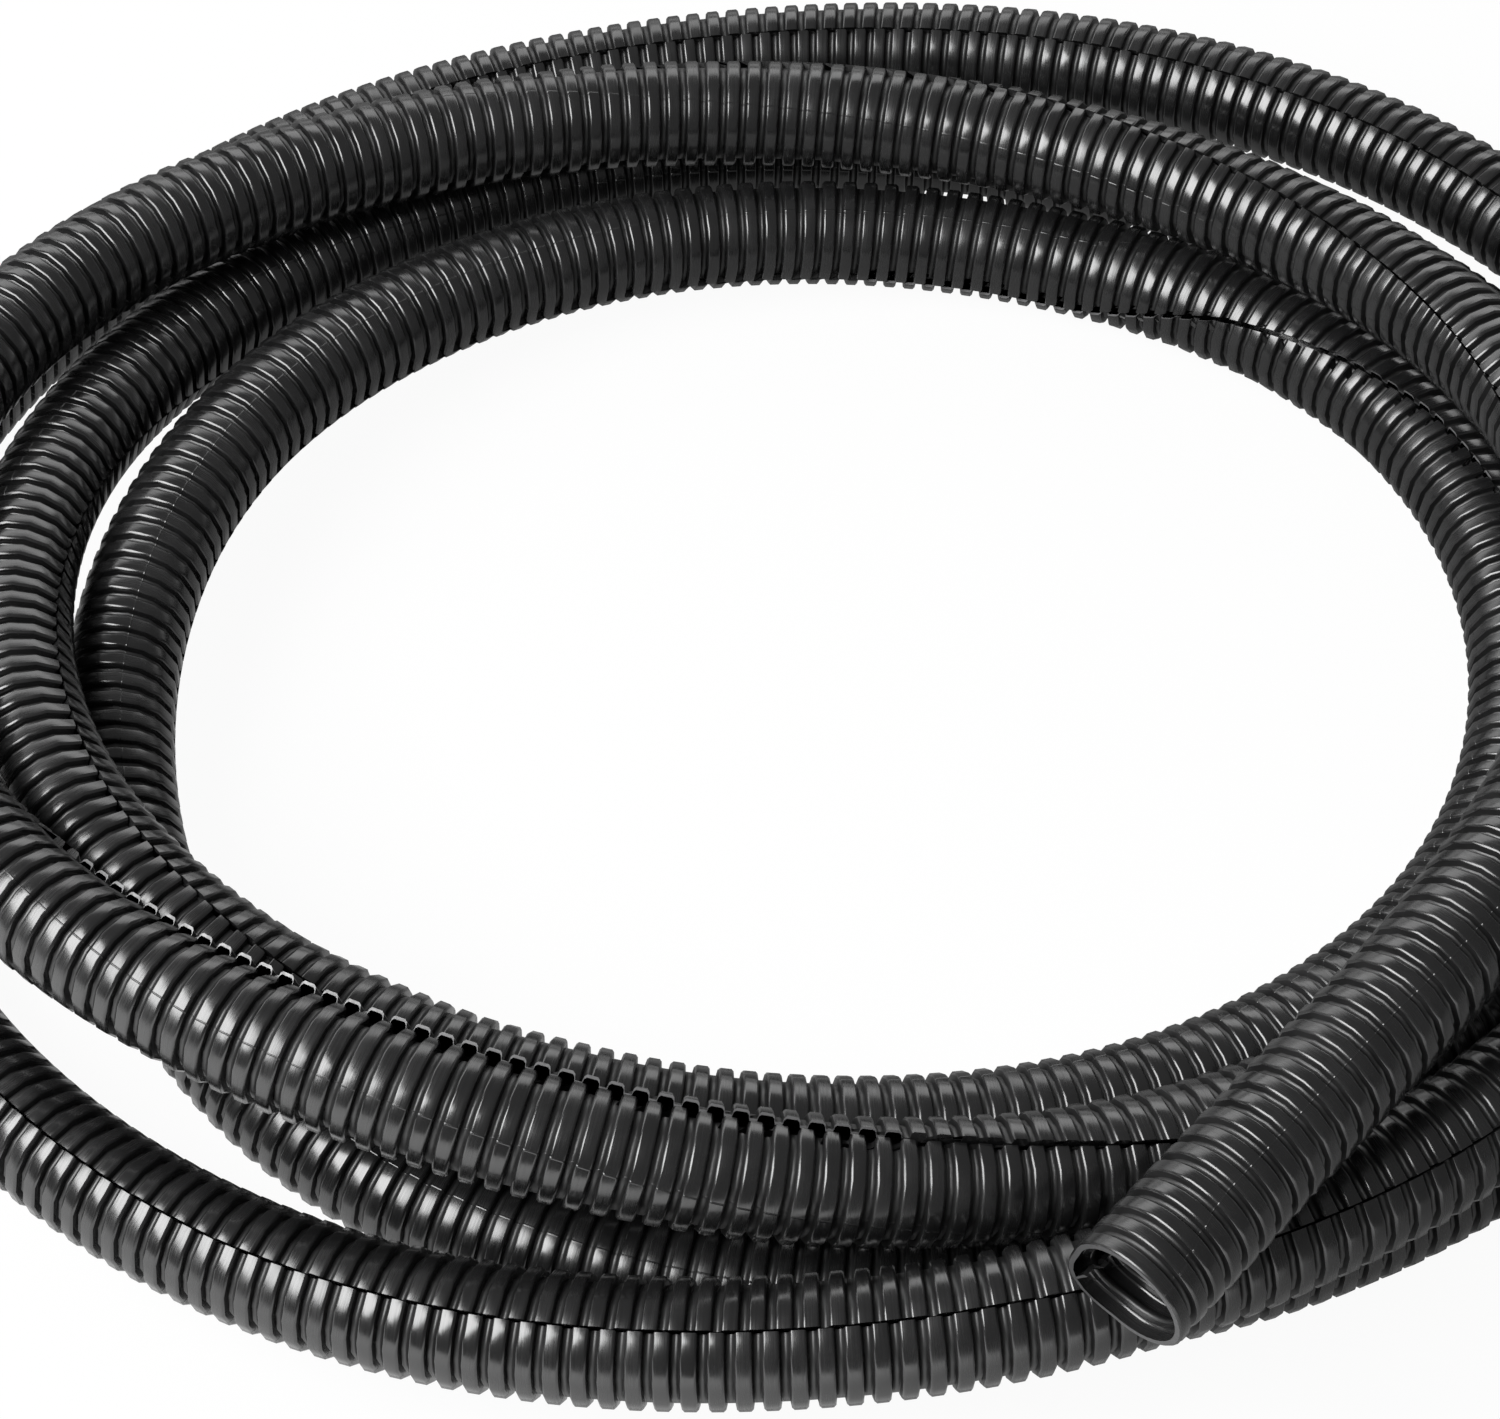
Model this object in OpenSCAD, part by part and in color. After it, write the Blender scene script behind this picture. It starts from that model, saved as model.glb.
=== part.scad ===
// Split corrugated conduit (split loom tubing): one loose coil of about four turns.
// The wall is one moulding. A slit runs along its whole length and winds slowly around it.
// Both ends are square cuts. The coil lies on the floor around the Z axis, and +X is its right.

/* [Tube] */
// Diameter over the ribs
outer_d = 16.6; // [14:0.1:19]
// Depth of the groove between two ribs
rib_depth = 1.1; // [0.6:0.05:1.4]
// Thickness of the moulded wall
wall = 0.7; // [0.5:0.05:1]
// Distance from one rib to the next
rib_pitch = 3.25; // [3:0.05:4.5]
// Width of a rib
rib_w = 2; // [1.8:0.1:2.6]
// Width of the lengthwise slit
slit_w = 0.6; // [0.4:0.1:1.6]

/* [Coil] */
// Number of ribs on each straight end
end_ribs = 15; // [4:1:18]
// Mean radius of the turns
turn_r = 110; // [100:1:130]
// Direction of the open end's bend from the middle of the coil, in degrees
start_angle = -50; // [-60:1:-30]
// Angle between two control points of the coil
knot_angle = 36; // [34:1:38]

/* [Hidden] */

bore_d = outer_d - 2 * (rib_depth + wall);
groove_d = outer_d - 2 * rib_depth;
end_l = end_ribs * rib_pitch - (rib_pitch - rib_w);

// Control points of the centreline, one each knot_angle: distance beyond turn_r and height.
// The first turn is the open end's, which lies on top. The coil then goes down and inward,
// runs once around on the floor inside, and comes back out on the floor.
knots = [
    [25.5, 36], [3.5, 46], [6, 47], [7.5, 28.5], [-4.5, 23.5], [-8.5, 23.5],
    [-1.5, 27.5], [14.5, 36], [12, 38], [-7, 40], [-10.5, 28], [-1, 19.5],
    [16, 18], [22, 14], [11, 8.5], [0.5, 8], [-2, 8.5], [-2.5, 22.5],
    [-6, 29.5], [-18, 26.5], [-24.5, 17], [-16, 10], [1, 7], [4.5, 11],
    [-11.5, 7], [-21.5, 10], [-24, 13.5], [-21.5, 18.5], [-15, 10.5], [-8, 9.5],
    [-7, 9.5], [12.5, 7], [33, 12.5], [42, 18.5], [32.5, 13.5], [21.5, 8],
    [22, 8.5], [25, 9.5], [21.5, 11.5], [13.5, 15.5], [8, 22], [16, 25],
    [31, 30.5], [45, 34.5]
];
spans = len(knots) - 3;

// Direction of the slit around the tube at some knots: 0 faces out of the coil, 90 faces up.
slit_turns = [
    [0, 230], [8, 200], [15, 160], [16.5, 145], [17.5, 105], [21, 85], [22, 95], [22.6, 145],
    [23, 200], [25, 205], [27, 190], [30, 130], [36, 100], [38, 70], [39.3, 70], [40, 55], [41, 45]
];

// Weights of a uniform cubic B-spline.
function weights(u) = [(1 - u)^3, 3 * u^3 - 6 * u^2 + 4, -3 * u^3 + 3 * u^2 + 3 * u + 1, u^3] / 6;

// Point of the centreline at a position t, counted in knots.
function centre(t) =
    let (k = max(0, min(floor(t), spans - 1)),
         p = weights(t - k) * [for (i = [0:3]) knots[k + i]],
         a = start_angle + knot_angle * t)
    [(turn_r + p.x) * cos(a), (turn_r + p.x) * sin(a), p.y];

function unit(v) = v / norm(v);

// Direction of travel, away from the middle, and up across the tube.
function along(t) = unit(centre(t + 0.005) - centre(t - 0.005));
function outward(t) = unit(cross(along(t), [0, 0, 1]));
function upward(t) = cross(outward(t), along(t));

// Direction of the slit in space.
function slit_way(t) =
    let (a = lookup(t, slit_turns))
    cos(a) * outward(t) + sin(a) * upward(t);

rings_per_span = 5;
section_sides = 10;
// The swept wall stays this far inside the wall of the straight ends, on all its sides.
inset = 0.15;
// The swept wall runs straight for this length up to each straight end, and on inside it.
seat = 0.6;

function polar(r, a) = [r * cos(a), r * sin(a)];

// Points of an arc that leaves out the slit, which faces angle 0.
function open_circle(r) =
    let (h = asin((slit_w / 2 + inset) / r))
    [for (i = [0:section_sides]) polar(r, h + i * (360 - 2 * h) / section_sides)];

// The tube's C-shaped section with a plain wall: over the ribs, and back around the bore.
outer_arc = open_circle(outer_d / 2 - inset);
inner_arc = open_circle((bore_d / 2 + inset) / cos(180 / section_sides));
section = concat(outer_arc, [for (i = [section_sides:-1:0]) inner_arc[i]]);

// The section's points around the centreline at t.
function ring(t) =
    let (c = centre(t), x = slit_way(t), y = cross(x, along(t)))
    [for (p = section) c + p.x * x + p.y * y];

// The bent length, as a loft through rings.
module coil() {
    n = len(section);
    start = [for (p = ring(0)) p - 2 * seat * along(0)];
    finish = [for (p = ring(spans)) p + 2 * seat * along(spans)];
    points = concat(start, [for (i = [0:spans * rings_per_span]) each ring(i / rings_per_span)], finish);
    last = len(points) / n - 1;
    sides = [for (i = [0:last - 1], j = [0:n - 1])
        let (a = i * n + j, b = i * n + (j + 1) % n)
        each [[a, b, b + n], [a, b + n, a + n]]];
    caps = [for (j = [0:section_sides - 1])
        let (k = n - 1 - j, e = last * n)
        each [[j, k - 1, j + 1], [j, k, k - 1], [e + j, e + j + 1, e + k - 1], [e + j, e + k - 1, e + k]]];
    polyhedron(points, concat(sides, caps), convexity = 10);
}

// A straight end with its ribs and grooves, from the bent length at z = 0 to the square cut.
module straight_end() {
    difference() {
        union() {
            cylinder(d = groove_d, h = end_l, $fn = 64);
            for (i = [0:end_ribs - 1])
                translate([0, 0, i * rib_pitch])
                    cylinder(d = outer_d, h = rib_w, $fn = 64);
        }
        translate([0, 0, -1])
            cylinder(d = bore_d, h = end_l + 2, $fn = 64);
        translate([0, -slit_w / 2, -1])
            cube([outer_d, slit_w, end_l + 2]);
    }
}

// Stands a child's Z axis along the tube past its end at t, pointing out, with X facing the slit.
module at_end(t, way) {
    x = slit_way(t);
    z = way * along(t);
    y = cross(z, x);
    c = centre(t) + seat * z;
    multmatrix([[x.x, y.x, z.x, c.x], [x.y, y.y, z.y, c.y], [x.z, y.z, z.z, c.z]])
        children();
}

// Half the tube's reach along each axis, where the tube runs along u.
function reach(u) = [for (c = u) outer_d / 2 * sqrt(1 - c^2)];

// Middle and direction of every ring and of both square cuts, and the box that they fill.
cut = seat + end_l;
stations = concat(
    [[centre(0) - cut * along(0), along(0)]],
    [for (i = [0:spans * rings_per_span]) let (t = i / rings_per_span) [centre(t), along(t)]],
    [[centre(spans) + cut * along(spans), along(spans)]]
);
low = [for (c = [0:2]) min([for (s = stations) s[0][c] - reach(s[1])[c]])];
high = [for (c = [0:2]) max([for (s = stations) s[0][c] + reach(s[1])[c]])];

module conduit() {
    color("#1c1c1e")
        translate([-(low.x + high.x) / 2, -(low.y + high.y) / 2, -low.z]) {
            coil();
            at_end(0, -1) straight_end();
            at_end(spans, 1) straight_end();
        }
}

conduit();
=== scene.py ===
"""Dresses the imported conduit: its ribbed skin, slit, cut ends and finish, and the studio around it."""

import math

import bpy
import numpy as np
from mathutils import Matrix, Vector


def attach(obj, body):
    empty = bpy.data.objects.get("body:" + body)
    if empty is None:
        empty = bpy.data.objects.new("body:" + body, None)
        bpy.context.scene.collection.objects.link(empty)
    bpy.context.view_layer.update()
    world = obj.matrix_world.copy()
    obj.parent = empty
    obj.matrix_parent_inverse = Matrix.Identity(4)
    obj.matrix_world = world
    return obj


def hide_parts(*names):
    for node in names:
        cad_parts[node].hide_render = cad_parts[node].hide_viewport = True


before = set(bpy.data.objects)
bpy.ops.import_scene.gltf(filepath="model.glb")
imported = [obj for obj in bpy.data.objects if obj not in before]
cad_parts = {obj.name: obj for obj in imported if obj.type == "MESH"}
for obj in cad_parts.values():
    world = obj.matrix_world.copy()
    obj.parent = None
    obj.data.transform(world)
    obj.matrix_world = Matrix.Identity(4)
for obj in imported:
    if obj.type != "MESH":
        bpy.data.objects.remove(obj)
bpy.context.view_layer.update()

MM = 0.001

# Tube, with the sizes of the part's source.
OUTER_R = 8.3 * MM
GROOVE_R = 7.2 * MM
BORE_R = 6.5 * MM
WALL = 0.7 * MM
RIB_PITCH = 3.25 * MM
RIB_W = 2 * MM
END_RIBS = 15
GROOVE_W = RIB_PITCH - RIB_W
SEAT = 0.6 * MM
STRAIGHT_L = SEAT + END_RIBS * RIB_PITCH - GROOVE_W

# Coil, with the control points of the part's source: distance beyond TURN_R, and height.
TURN_R = 110 * MM
START_ANGLE = -50.0
KNOT_ANGLE = 36.0
KNOTS = MM * np.array([
    [25.5, 36], [3.5, 46], [6, 47], [7.5, 28.5], [-4.5, 23.5], [-8.5, 23.5],
    [-1.5, 27.5], [14.5, 36], [12, 38], [-7, 40], [-10.5, 28], [-1, 19.5],
    [16, 18], [22, 14], [11, 8.5], [0.5, 8], [-2, 8.5], [-2.5, 22.5],
    [-6, 29.5], [-18, 26.5], [-24.5, 17], [-16, 10], [1, 7], [4.5, 11],
    [-11.5, 7], [-21.5, 10], [-24, 13.5], [-21.5, 18.5], [-15, 10.5], [-8, 9.5],
    [-7, 9.5], [12.5, 7], [33, 12.5], [42, 18.5], [32.5, 13.5], [21.5, 8],
    [22, 8.5], [25, 9.5], [21.5, 11.5], [13.5, 15.5], [8, 22], [16, 25],
    [31, 30.5], [45, 34.5],
])
SPANS = len(KNOTS) - 3

# Direction of the slit around the tube at some knots, 0 facing out of the coil and 90 up, counted on past
# whole turns. Unlike the source's it comes over the top of the second turn's front, and hides on the
# third turn's.
SLIT_TURNS = np.array([
    [0, 590], [4.2, 386], [7.3, 168], [7.8, 145], [8.2, 138], [8.5, 131], [8.75, 120], [9.05, 108],
    [9.3, 94], [9.5, 80], [9.7, 64], [10.5, 10], [12, -50], [14.6, -126], [16.5, -215], [17.5, -255],
    [18.6, -320], [20, -335], [21, -310], [22, -265], [22.6, -215], [23, -160], [25, -155], [27, -170],
    [30, -230], [36, -260], [38, -290], [39.3, -290], [40, -305], [41, -315],
])

# How far the mould's parting line lies around the tube behind the slit, at some knots.
MOULD_LAG = np.array([[0, 160], [4, 90]])

# Width of the slit, and the stretches, in knots, where it gapes and shows the thin edges of its lips: how
# wide, the length over which that sets in, and how thin.
SLIT_W = 0.3 * MM
GAPING = [(7.4, 9.2), (21.8, 23.6)]
GAPE = 0.8 * MM
GAPE_FADE = 20 * MM
LIP_W = 0.4 * MM

# Stretch where one lip lies proud of the other, in knots: by how much, the length over which that sets
# in, and how far around the tube it reaches from the slit.
LAPPED = (7.0, 10.3)
LAP_STEP = 1.0 * MM
LAP_FADE = 30 * MM
LAP_REACH = np.radians(45)

# How far the ribs on one lip lie ahead of those on the other, as a share of a rib's pitch, how much that
# comes and goes along the tube, and the length from each cut end over which it sets in.
LIP_LEAD = 0.5
LIP_LEAD_SWING = 0.12
LIP_LEAD_WAVE = 90 * MM
LIP_LEAD_FADE = 110 * MM

# Profile of one rib: distance from the start of its crest, radius, and how far the surface before and
# after that point leans along the tube, in degrees.
FLANK = 0.15 * MM
FILLET = 0.3 * MM
STEEP = 84
CROWN = 5
EDGE_LOW = 52
EDGE_HIGH = 15
HOLLOW = 50
RIB_PROFILE = [
    (-FLANK, GROOVE_R, -HOLLOW, -STEEP),
    (0, OUTER_R - FILLET, -STEEP, -EDGE_LOW),
    (FILLET, OUTER_R, -EDGE_HIGH, -CROWN),
    (RIB_W - FILLET, OUTER_R, CROWN, EDGE_HIGH),
    (RIB_W, OUTER_R - FILLET, EDGE_LOW, STEEP),
    (RIB_W + FLANK, GROOVE_R, STEEP, HOLLOW),
]

# How the cut end is pinched: one lip slides under the other, which flares out to a corner.
TUCK_L = 16 * MM
TUCK_ANGLE = np.radians(12)
TUCK_TWIST = np.radians(15)
TUCK_DEPTH = 0.9 * MM
FLARE = 1.8 * MM
FLARE_ANGLE = np.radians(45)

# Sides of the wall and of the bore, how many ribs one ring of the bore serves, and at how many ribs of
# each end the inside follows them.
END_SIDES = 36
SIDES = 15
BORE_SIDES = 6
RIBS_PER_BORE_RING = 4
FINE_RIBS_OPEN_END = 8
FINE_RIBS_FAR_END = 2

# Share of a rib's pitch that its crest takes, and over how much of it the crest's finish ends.
CREST_SHARE = (RIB_W + FLANK) / RIB_PITCH
CREST_EDGE = 0.06

# Finish: gloss, what a groove adds to the roughness, streaks around the tube and along each rib, blotches,
# grain and tears per metre, half the width of the parting lines as a share of half a turn, and how deep
# the streaks and grain, the parting lines and the tears are.
PLASTIC_IOR = 1.54
GLOSS_LEVEL = 1.0
GROOVE_DULL = 0.2
STREAK_SCALE = (5, 16, 1)
BLOTCH_SCALE = 130
GRAIN_SCALE = 2600
TEAR_SCALE = 1500
PARTING_W = 0.006
RELIEF_DEPTH = 0.03 * MM
PARTING_DEPTH = 0.04 * MM
TEAR_DEPTH = 0.05 * MM


def unit(v):
    """Vectors of length 1 in the directions of v."""
    return v / np.linalg.norm(v, axis=-1, keepdims=True)


def centre(t):
    """Points of the centreline at positions t, counted in knots."""
    k = np.clip(np.floor(t), 0, SPANS - 1).astype(int)
    u = t - k
    weights = [(1 - u) ** 3, 3 * u**3 - 6 * u**2 + 4, -3 * u**3 + 3 * u**2 + 3 * u + 1, u**3]
    p = sum(weight[:, None] / 6 * KNOTS[k + i] for i, weight in enumerate(weights))
    a = np.radians(START_ANGLE + KNOT_ANGLE * t)
    r = TURN_R + p[:, 0]
    return np.stack([r * np.cos(a), r * np.sin(a), p[:, 1]], axis=1)


class Route:
    """The tube's centreline by distance from the open end, with the slit's direction."""

    STATIONS_PER_KNOT = 60
    TANGENT_STEP = 0.005

    def __init__(self):
        t = np.linspace(0, SPANS, SPANS * self.STATIONS_PER_KNOT + 1)
        along = unit(centre(t + self.TANGENT_STEP) - centre(t - self.TANGENT_STEP))
        outward = unit(np.cross(along, [0, 0, 1]))
        upward = np.cross(outward, along)
        a = np.radians(np.interp(t, SLIT_TURNS[:, 0], SLIT_TURNS[:, 1]))[:, None]
        slit = np.cos(a) * outward + np.sin(a) * upward
        bent = centre(t)
        points = np.vstack([bent[0] - STRAIGHT_L * along[0], bent, bent[-1] + STRAIGHT_L * along[-1]])
        self.along = np.vstack([along[0], along, along[-1]])
        self.slit = np.vstack([slit[0], slit, slit[-1]])
        reach = OUTER_R * np.sqrt(np.maximum(0, 1 - self.along**2))
        low = (points - reach).min(axis=0)
        high = (points + reach).max(axis=0)
        self.shift = np.array([-(low[0] + high[0]) / 2, -(low[1] + high[1]) / 2, -low[2]])
        self.points = points + self.shift
        steps = np.linalg.norm(np.diff(self.points, axis=0), axis=1)
        self.distance = np.concatenate([[0], np.cumsum(steps)])
        self.length = self.distance[-1]
        self.knots = np.concatenate([[t[0]], t, [t[-1]]])

    def distance_of(self, t):
        """Distance from the open end of the position t, counted in knots."""
        return np.interp(t, self.knots[1:-1], self.distance[1:-1])

    def at(self, s):
        """Point and directions of travel, of the slit and across both, at distances s."""
        found = [
            np.stack([np.interp(s, self.distance, table[:, c]) for c in range(3)], axis=-1)
            for table in (self.points, self.along, self.slit)
        ]
        beyond = s - np.clip(s, 0, self.length)
        along = unit(found[1])
        slit = unit(found[2])
        return found[0] + beyond[..., None] * along, along, slit, np.cross(slit, along)


route = Route()
RIBS = round((route.length + GROOVE_W) / RIB_PITCH)
PITCH = (route.length + GROOVE_W) / RIBS


def smooth(x):
    """Smooth step from 0 to 1."""
    x = np.clip(x, 0, 1)
    return x * x * (3 - 2 * x)


def within(s, start, finish, fade):
    """1 between two distances and 0 outside them, with a smooth fade just inside each."""
    return smooth((s - start) / fade) * smooth((finish - s) / fade)


def in_stretch(s, stretch, fade):
    """The same for a stretch given by its two knots."""
    return within(s, *route.distance_of(stretch), fade)


def lip_lead(s):
    """How far the ribs on one lip of the slit lie ahead of those on the other at distances s."""
    lead = LIP_LEAD + LIP_LEAD_SWING * np.sin(s / LIP_LEAD_WAVE)
    return within(s, 0, route.length, LIP_LEAD_FADE) * RIB_PITCH * lead


def slit_gap(s):
    """Width of the slit at distances s."""
    gape = sum(in_stretch(s, stretch, GAPE_FADE) for stretch in GAPING)
    return SLIT_W + (GAPE - SLIT_W) * gape


def lap_step(s):
    """How far one lip lies proud of the other at distances s."""
    return LAP_STEP * in_stretch(s, LAPPED, LAP_FADE)


def mould_lag(s):
    """Share of a turn from the parting line to the slit at distances s."""
    t = np.interp(s, route.distance[1:-1], route.knots[1:-1])
    return np.interp(t, MOULD_LAG[:, 0], MOULD_LAG[:, 1]) / 360


def place(s, turn, radius):
    """Points of the wall, and their directions out of the tube, around it and along it. They lie at
    distances s and shares turn of the way around from lip to lip."""
    half_gap = slit_gap(s) / 2 / radius
    tuck = smooth(1 - s / TUCK_L)
    angle = half_gap - TUCK_ANGLE * tuck + turn * (2 * np.pi - 2 * half_gap + TUCK_ANGLE * tuck)
    under = smooth(-angle / (TUCK_ANGLE / 2))
    from_slit = np.minimum(np.abs(angle), 2 * np.pi - angle)
    flare = smooth(1 - from_slit / FLARE_ANGLE) * (1 - under)
    proud = smooth(1 - angle / LAP_REACH) - smooth(1 - (2 * np.pi - angle) / LAP_REACH)
    radius = radius + tuck * (FLARE * flare - TUCK_DEPTH * under) + lap_step(s) / 2 * proud
    point, along, slit, across = route.at(s + lip_lead(s) * (turn - 0.5))
    angle = angle - TUCK_TWIST * tuck
    cos, sin = np.cos(angle)[..., None], np.sin(angle)[..., None]
    radial = cos * slit + sin * across
    return point + radius[..., None] * radial, radial, cos * across - sin * slit, along


# Kinds of faces: the number of their material, and which way they face around and along the tube.
FACE_KINDS = {
    "skin": (0, 0, 0),
    "closed_lip_a": (0, -1, 0),
    "closed_lip_b": (0, 1, 0),
    "open_lip_a": (1, -1, 0),
    "open_lip_b": (1, 1, 0),
    "start": (2, 0, -1),
    "finish": (2, 0, 1),
}


class Skin:
    """Gathers the vertices and faces of the tube's wall, with a normal for each corner of a face."""

    def __init__(self):
        self.points, self.before, self.after, self.around, self.along, self.uv = [], [], [], [], [], []
        self.faces = {kind: [] for kind in FACE_KINDS}
        self.count = 0

    def rings(self, stations, sides, inside=False):
        """Adds rings of sides + 1 vertices, from lip to lip, and returns their indices."""
        s, radius, before, after = stations
        shape = (len(s), sides + 1)
        turn = np.broadcast_to(np.linspace(0, 1, sides + 1), shape)
        s, radius = (np.broadcast_to(a[:, None], shape) for a in (s, radius))
        point, radial, around, along = place(s, turn, radius)
        self.points.append(point.reshape(-1, 3))
        for store, lean in ((self.before, before), (self.after, after)):
            lean = np.radians(lean)[:, None, None]
            normal = np.cos(lean) * radial + np.sin(lean) * along
            store.append((-normal if inside else normal).reshape(-1, 3))
        self.around.append(around.reshape(-1, 3))
        self.along.append(along.reshape(-1, 3))
        self.uv.append(np.stack([turn + mould_lag(s), s / PITCH], axis=-1).reshape(-1, 2))
        index = self.count + np.arange(turn.size).reshape(shape)
        self.count += index.size
        return index

    def quads(self, kind, a, b, flip=False):
        """Quads between two rows with as many vertices."""
        found = np.stack([a[:-1], b[:-1], b[1:], a[1:]], axis=1)
        self.faces[kind].extend((found[:, ::-1] if flip else found).tolist())

    def grid(self, kind, index, flip=False):
        """Quads between all neighbouring rows."""
        for a, b in zip(index[:-1], index[1:]):
            self.quads(kind, a, b, flip)

    def ladder(self, kind, a, b, at_a=None, at_b=None, flip=False):
        """Triangles between two rows of vertices, given where they lie along the rows, or evenly."""
        at_a = np.linspace(0, 1, len(a)) if at_a is None else at_a
        at_b = np.linspace(0, 1, len(b)) if at_b is None else at_b
        i = j = 0
        while i < len(a) - 1 or j < len(b) - 1:
            step_a = j == len(b) - 1 or (i < len(a) - 1 and at_a[i + 1] <= at_b[j + 1])
            face = [a[i], b[j], a[i + 1]] if step_a else [a[i], b[j], b[j + 1]]
            self.faces[kind].append([int(v) for v in (face[::-1] if flip else face)])
            i, j = i + step_a, j + (not step_a)


def rib_stations(first, last):
    """Distance, radius and both leans at every station of the ribs from first up to last. The two cut
    ends are at the edges of a crest, so the flanks beyond them are left out."""
    rows = [(n * PITCH + s, *rest) for n in range(first, last) for s, *rest in RIB_PROFILE]
    return np.array([row for row in rows if -FLANK / 2 < row[0] < route.length + FLANK / 2]).T


def lined(skin, first, last):
    """A stretch of wall that follows the ribs inside as well. Returns its first and last rows."""
    stations = rib_stations(first, last)
    outer = skin.rings(stations, END_SIDES)
    stations[1] -= WALL
    inner = skin.rings(stations, END_SIDES, inside=True)
    skin.grid("skin", outer)
    skin.grid("skin", inner, flip=True)
    skin.quads("closed_lip_a", inner[:, 0], outer[:, 0], flip=True)
    skin.quads("closed_lip_b", inner[:, -1], outer[:, -1])
    return (outer[0], inner[0]), (outer[-1], inner[-1])


def plain_bored(skin, first, last, thin_lips):
    """A stretch of wall with a plain bore. Where the slit gapes its lips show thin edges. Returns its
    first and last rows."""
    stations = rib_stations(first, last)
    outer = skin.rings(stations, SIDES)
    skin.grid("skin", outer)
    s = stations[0]
    coarse = np.append(s[::len(RIB_PROFILE) * RIBS_PER_BORE_RING][:-1], s[-1])
    level = np.zeros(len(coarse))
    bore = skin.rings((coarse, level + BORE_R, level, level), BORE_SIDES, inside=True)
    if thin_lips:
        stations[1] -= LIP_W
        edges = skin.rings(stations, 1, inside=True)
        skin.grid("skin", bore[:, 1:-1], flip=True)
        skin.ladder("skin", bore[:, 1], edges[:, 0], coarse, s)
        skin.ladder("skin", edges[:, 1], bore[:, -2], s, coarse)
        skin.quads("open_lip_a", edges[:, 0], outer[:, 0], flip=True)
        skin.quads("open_lip_b", edges[:, 1], outer[:, -1])
        inner = np.hstack([edges[[0, -1], :1], bore[[0, -1], 1:-1], edges[[0, -1], 1:]])
    else:
        skin.grid("skin", bore, flip=True)
        skin.ladder("closed_lip_a", bore[:, 0], outer[:, 0], coarse, s, flip=True)
        skin.ladder("closed_lip_b", bore[:, -1], outer[:, -1], coarse, s)
        inner = bore[[0, -1]]
    return (outer[0], inner[0]), (outer[-1], inner[1])


def make_tube():
    """The whole wall, stretch by stretch, with the rows where they meet joined and both ends closed."""
    skin = Skin()
    gaping = [tuple(round(route.distance_of(t) / PITCH) for t in stretch) for stretch in GAPING]
    cuts = [0, FINE_RIBS_OPEN_END, *sum(gaping, ()), RIBS - FINE_RIBS_FAR_END, RIBS]
    rows = []
    for first, last in zip(cuts[:-1], cuts[1:]):
        if first == 0 or last == RIBS:
            rows += lined(skin, first, last)
        else:
            rows += plain_bored(skin, first, last, thin_lips=(first, last) in gaping)
    for (outer_a, inner_a), (outer_b, inner_b) in zip(rows[1:-1:2], rows[2::2]):
        skin.ladder("skin", outer_a, outer_b)
        skin.ladder("skin", inner_a, inner_b, flip=True)
        for end, kind in ((0, "closed_lip_a"), (-1, "closed_lip_b")):
            inner, outer = [inner_a[end], inner_b[end]], [outer_a[end], outer_b[end]]
            skin.quads(kind, np.array(inner), np.array(outer), flip=end == 0)
    skin.quads("start", *rows[0], flip=True)
    skin.quads("finish", *rows[-1])
    return skin


def mesh_from(skin):
    """The mesh. A corner that lies ahead of its face's middle has the normal of the surface before it,
    and any other corner that of the surface after it, so that the ribs have crisp edges."""
    points, before, after, around, along, uv = (
        np.vstack(a) for a in (skin.points, skin.before, skin.after, skin.around, skin.along, skin.uv)
    )
    faces = [face for kind in skin.faces.values() for face in kind]
    sizes = np.array([len(face) for face in faces])
    corners = np.concatenate(faces)
    kinds = np.repeat(list(skin.faces), [len(kind) for kind in skin.faces.values()])
    corner_kinds = np.repeat(kinds, sizes)
    materials = np.array([FACE_KINDS[kind][0] for kind in kinds], np.int32)
    middles = np.add.reduceat(uv[corners, 1], np.cumsum(sizes) - sizes) / sizes
    ahead = uv[corners, 1] > np.repeat(middles, sizes)
    normals = np.where(ahead[:, None], before[corners], after[corners])
    for kind, (_, way_around, way_along) in FACE_KINDS.items():
        if kind != "skin":
            own = corners[corner_kinds == kind]
            normals[corner_kinds == kind] = way_around * around[own] + way_along * along[own]
    mesh = bpy.data.meshes.new("conduit_skin")
    mesh.from_pydata(points.tolist(), [], faces)
    mesh.polygons.foreach_set("material_index", materials)
    mesh.polygons.foreach_set("use_smooth", np.ones(len(faces), dtype=bool))
    layer = mesh.uv_layers.new(name="around_and_along")
    layer.data.foreach_set("uv", uv[corners].ravel())
    mesh.normals_split_custom_set(normals.tolist())
    return mesh


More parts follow.
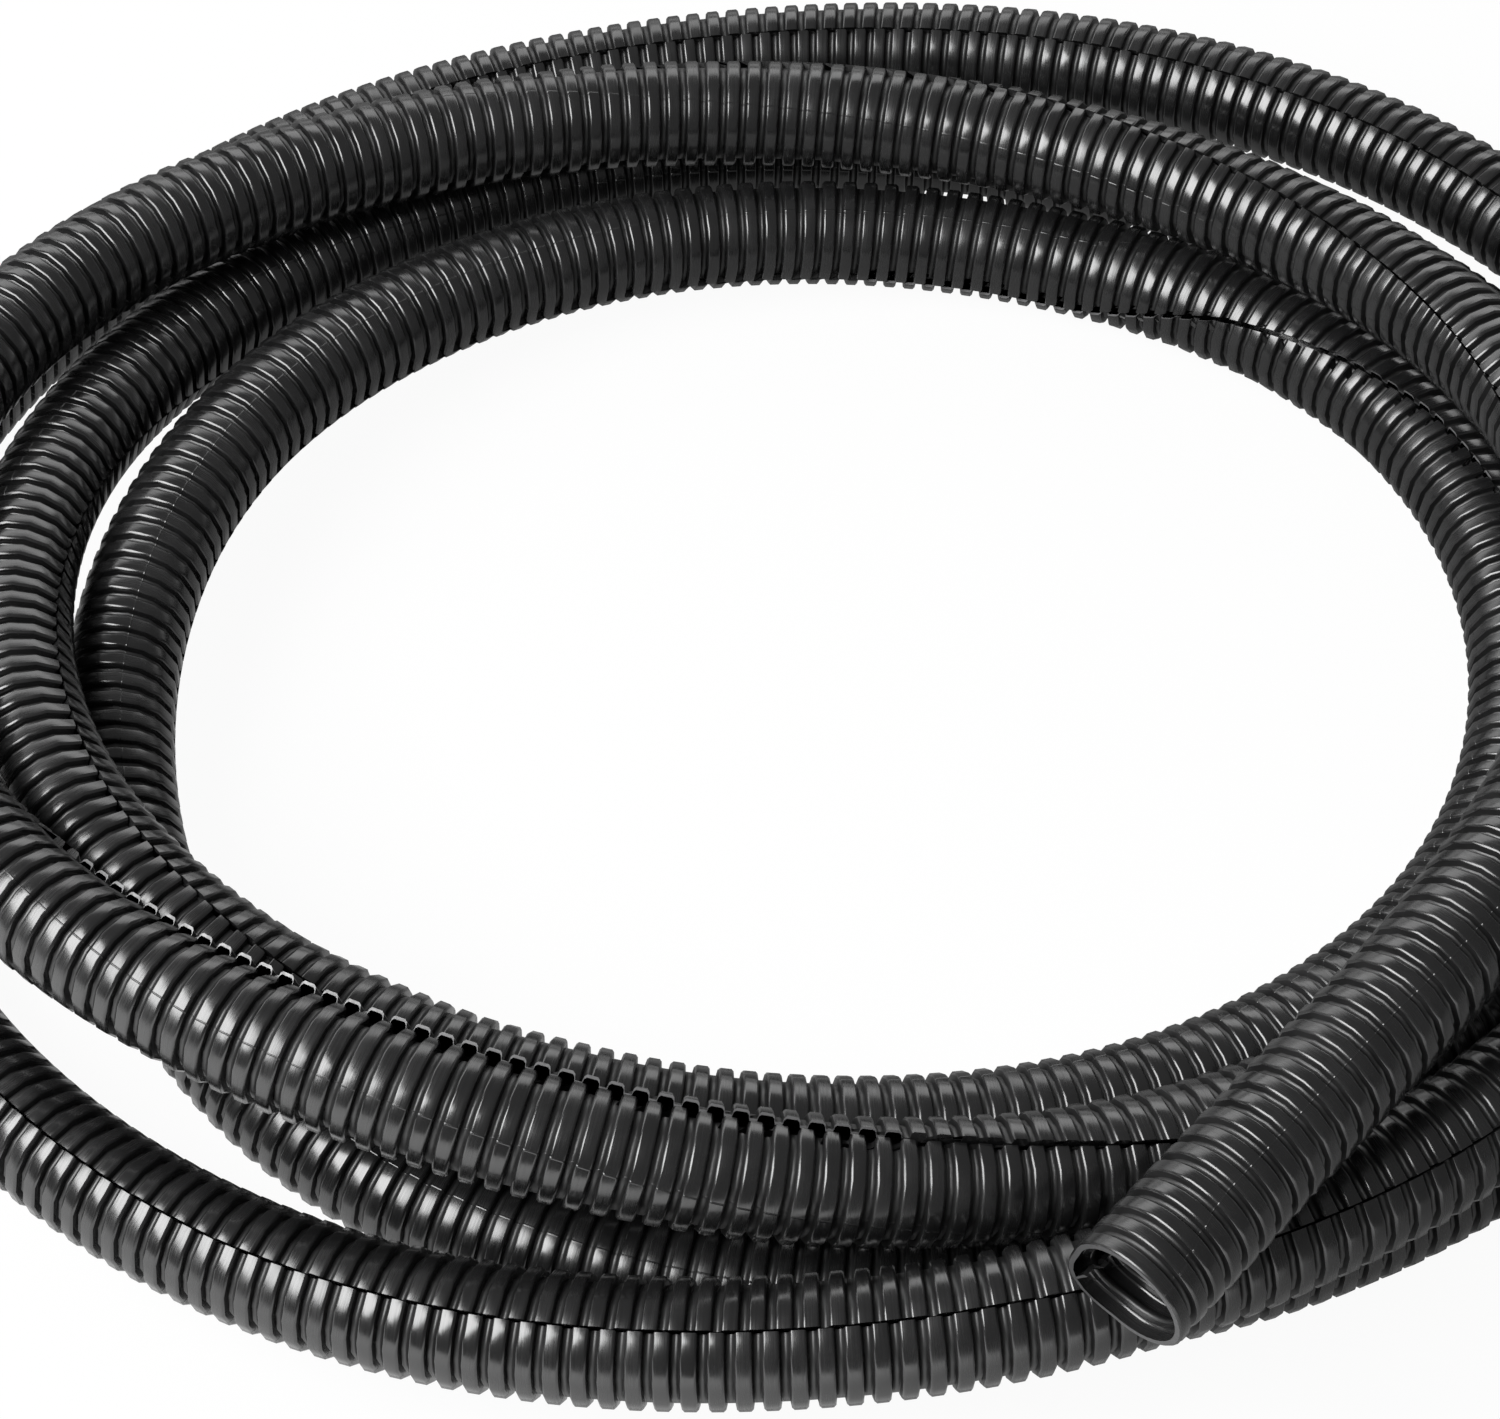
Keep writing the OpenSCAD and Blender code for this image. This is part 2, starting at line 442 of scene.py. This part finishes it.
class Nodes:
    """Short names for the nodes that the materials and the world use."""

    def __init__(self, holder):
        holder.use_nodes = True
        self.nodes, self.links = holder.node_tree.nodes, holder.node_tree.links
        self.shader = self.nodes.get("Principled BSDF")

    def feed(self, node, inputs):
        """Links each named input to a socket, or sets its value."""
        for name, value in inputs.items():
            if isinstance(value, bpy.types.NodeSocket):
                self.links.new(value, node.inputs[name])
            else:
                node.inputs[name].default_value = value

    def math(self, operation, a, b=0.0):
        node = self.nodes.new("ShaderNodeMath")
        node.operation = operation
        self.feed(node, {0: a, 1: b})
        return node.outputs[0]

    def spread(self, source, from_min, from_max, to_min, to_max):
        """Maps a number from one range smoothly to another."""
        node = self.nodes.new("ShaderNodeMapRange")
        node.interpolation_type = "SMOOTHSTEP"
        self.feed(node, {"Value": source, "From Min": from_min, "From Max": from_max})
        self.feed(node, {"To Min": to_min, "To Max": to_max})
        return node.outputs["Result"]

    def noise(self, vector, scale, detail):
        node = self.nodes.new("ShaderNodeTexNoise")
        self.feed(node, {"Vector": vector, "Scale": scale, "Detail": detail})
        return node.outputs["Fac"]

    def stretched(self, vector, scale):
        node = self.nodes.new("ShaderNodeMapping")
        self.feed(node, {"Vector": vector, "Scale": scale})
        return node.outputs["Vector"]


def polyethylene(name, color, roughness):
    """Moulded plastic: flow streaks, dull grooves, blotches, grain and the mould's two parting lines."""
    material = bpy.data.materials.new(name)
    n = Nodes(material)
    where = n.nodes.new("ShaderNodeTexCoord")
    on_tube, in_space = where.outputs["UV"], where.outputs["Object"]
    split = n.nodes.new("ShaderNodeSeparateXYZ")
    n.feed(split, {"Vector": on_tube})
    around, ribs = split.outputs["X"], split.outputs["Y"]

    along_rib = n.math("FRACT", ribs)
    crest = n.spread(along_rib, CREST_SHARE, CREST_SHARE + CREST_EDGE, 1, 0)
    blotches = n.noise(in_space, BLOTCH_SCALE, 4)
    streaks = n.noise(n.stretched(on_tube, STREAK_SCALE), 1, 3)
    grain = n.noise(in_space, GRAIN_SCALE, 2)

    dull = n.spread(blotches, 0.35, 0.7, roughness * 0.8, roughness * 1.25)
    shine = n.math("ADD", dull, n.spread(streaks, 0.35, 0.65, -0.03, 0.05))
    groove = n.math("MULTIPLY", n.math("SUBTRACT", 1.0, crest), GROOVE_DULL)
    n.feed(n.shader, {"Roughness": n.math("ADD", shine, groove)})

    tint = n.nodes.new("ShaderNodeMix")
    tint.data_type = "RGBA"
    n.feed(tint, {"Factor": n.spread(blotches, 0.3, 0.7, 0, 1)})
    n.feed(tint, {"A": (*[c * 0.8 for c in color], 1), "B": (*[c * 1.25 for c in color], 1)})
    n.feed(n.shader, {"Base Color": tint.outputs["Result"]})
    n.feed(n.shader, {"IOR": PLASTIC_IOR, "Specular IOR Level": GLOSS_LEVEL})

    half_turn = n.math("FRACT", n.math("MULTIPLY", around, 2.0))
    from_line = n.math("ABSOLUTE", n.math("SUBTRACT", half_turn, 0.5))
    line = n.spread(from_line, 0.5 - PARTING_W, 0.5, 0, 1)
    relief = n.math("ADD", n.math("MULTIPLY", streaks, 0.35), n.math("MULTIPLY", grain, 0.15))
    bump = n.nodes.new("ShaderNodeBump")
    n.feed(bump, {"Strength": 0.6, "Distance": RELIEF_DEPTH, "Height": relief})
    ridge = n.nodes.new("ShaderNodeBump")
    n.feed(ridge, {"Strength": 1.0, "Distance": PARTING_DEPTH, "Height": line})
    n.feed(ridge, {"Normal": bump.outputs["Normal"]})
    n.feed(n.shader, {"Normal": ridge.outputs["Normal"]})
    return material


def cut_polyethylene(name, color, roughness):
    """The sawn faces of the two ends and of the slit: paler, rougher and torn. The lips' extra grey is a
    painted highlight on their cut edges.
    """
    material = bpy.data.materials.new(name)
    n = Nodes(material)
    in_space = n.nodes.new("ShaderNodeTexCoord").outputs["Object"]
    torn = n.noise(in_space, TEAR_SCALE, 4)
    n.feed(n.shader, {"Base Color": (*color, 1)})
    n.feed(n.shader, {"IOR": PLASTIC_IOR, "Specular IOR Level": GLOSS_LEVEL})
    n.feed(n.shader, {"Roughness": n.spread(torn, 0.3, 0.7, roughness * 0.8, roughness * 1.2)})
    bump = n.nodes.new("ShaderNodeBump")
    n.feed(bump, {"Strength": 0.5, "Distance": TEAR_DEPTH, "Height": torn})
    n.feed(n.shader, {"Normal": bump.outputs["Normal"]})
    return material


def make_conduit():
    """The conduit: one piece, which stands for the part's one node and is a coiled cord."""
    conduit = bpy.data.objects.new("split_conduit", mesh_from(make_tube()))
    bpy.context.scene.collection.objects.link(conduit)
    conduit.data.materials.append(polyethylene("black_polyethylene", (0.013, 0.013, 0.0133), 0.24))
    # The slit's open lips are a paler grey than the cut ends; the extra is a painted highlight along their
    # cut edges.
    conduit.data.materials.append(cut_polyethylene("cut_lips_painted_highlight", (0.18, 0.18, 0.183), 0.4))
    conduit.data.materials.append(cut_polyethylene("cut_ends", (0.07, 0.07, 0.072), 0.4))
    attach(conduit, "root")
    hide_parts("conduit")


def make_camera():
    """A long lens that looks down on the coil from the front."""
    elevation = math.radians(50.2)
    distance = 553.2 * MM
    aim = Vector((-1.4 * MM, -8.0 * MM, OUTER_R)) + Vector(route.shift)
    camera = bpy.data.objects.new("camera", bpy.data.cameras.new("camera"))
    camera.data.lens = 91.8
    camera.data.sensor_width = 36
    camera.location = aim - distance * Vector((0, math.cos(elevation), -math.sin(elevation)))
    camera.rotation_euler = (math.pi / 2 - elevation, 0, 0)
    bpy.context.scene.collection.objects.link(camera)
    bpy.context.scene.camera = camera


def soft_light(name, size, power, azimuth, elevation, distance=1.2):
    """An area lamp that looks at the coil. Azimuth 0 is behind the coil and 90 is on its right."""
    a, e = math.radians(azimuth), math.radians(elevation)
    way = Vector((math.sin(a) * math.cos(e), math.cos(a) * math.cos(e), math.sin(e)))
    lamp = bpy.data.lights.new(name, "AREA")
    lamp.shape = "RECTANGLE"
    lamp.size, lamp.size_y = size
    lamp.energy = power
    holder = bpy.data.objects.new(name, lamp)
    holder.location = way * distance
    holder.rotation_euler = way.to_track_quat("Z", "Y").to_euler()
    bpy.context.scene.collection.objects.link(holder)


def make_world():
    """Even light for the object, white for the camera. Glossy things see a pale horizon behind it."""
    even_light = 0.13
    horizon_light = 0.85
    world = bpy.data.worlds.new("studio")
    bpy.context.scene.world = world
    n = Nodes(world)
    where = n.nodes.new("ShaderNodeSeparateXYZ")
    n.feed(where, {"Vector": n.nodes.new("ShaderNodeTexCoord").outputs["Generated"]})
    low = n.spread(where.outputs["Z"], 0.02, 0.3, 1, 0)
    behind = n.spread(where.outputs["Y"], 0, 0.7, 0, 1)
    paths = n.nodes.new("ShaderNodeLightPath")
    horizon = n.math("MULTIPLY", n.math("MULTIPLY", low, behind), paths.outputs["Is Glossy Ray"])
    strength = n.math("ADD", n.math("MULTIPLY", horizon, horizon_light), even_light)
    seen = n.math("MAXIMUM", strength, paths.outputs["Is Camera Ray"])
    n.feed(n.nodes["Background"], {"Color": (1, 1, 1, 1), "Strength": seen})


def make_floor():
    """A pale floor with a faint shadow. Glossy things see it bright on the side of the key light."""
    half = 4.0
    camera_white = 0.95
    dim_side = 0.25
    bright_side = 1.4
    corners = [(-half, -half, 0), (half, -half, 0), (half, half, 0), (-half, half, 0)]
    mesh = bpy.data.meshes.new("floor")
    mesh.from_pydata(corners, [], [(0, 1, 2, 3)])
    floor = bpy.data.objects.new("floor", mesh)
    bpy.context.scene.collection.objects.link(floor)
    material = bpy.data.materials.new("pale_floor")
    n = Nodes(material)
    n.feed(n.shader, {"Base Color": (0.9, 0.9, 0.9, 1), "Roughness": 0.9})
    paths = n.nodes.new("ShaderNodeLightPath")
    where = n.nodes.new("ShaderNodeSeparateXYZ")
    n.feed(where, {"Vector": n.nodes.new("ShaderNodeTexCoord").outputs["Object"]})
    toward_key = n.math("SUBTRACT", n.math("MULTIPLY", where.outputs["X"], -1.0), where.outputs["Y"])
    reflected = n.spread(toward_key, 0, 0.35, dim_side, bright_side)
    white = n.nodes.new("ShaderNodeEmission")
    mirrored = n.nodes.new("ShaderNodeEmission")
    n.feed(mirrored, {"Strength": reflected})
    seen = n.nodes.new("ShaderNodeMixShader")
    n.feed(seen, {0: n.math("MULTIPLY", paths.outputs["Is Camera Ray"], camera_white)})
    n.links.new(n.shader.outputs[0], seen.inputs[1])
    n.links.new(white.outputs[0], seen.inputs[2])
    both = n.nodes.new("ShaderNodeMixShader")
    n.feed(both, {0: paths.outputs["Is Glossy Ray"]})
    n.links.new(seen.outputs[0], both.inputs[1])
    n.links.new(mirrored.outputs[0], both.inputs[2])
    n.links.new(both.outputs[0], n.nodes["Material Output"].inputs["Surface"])
    floor.data.materials.append(material)


def make_studio():
    """Surroundings and lamps."""
    make_world()
    make_floor()
    soft_light("key", size=(1.0, 0.7), power=18, azimuth=-114, elevation=47)
    soft_light("back", size=(2.3, 0.5), power=6, azimuth=-12, elevation=31)
    bpy.context.scene.view_settings.view_transform = "Standard"


make_camera()
make_conduit()
make_studio()
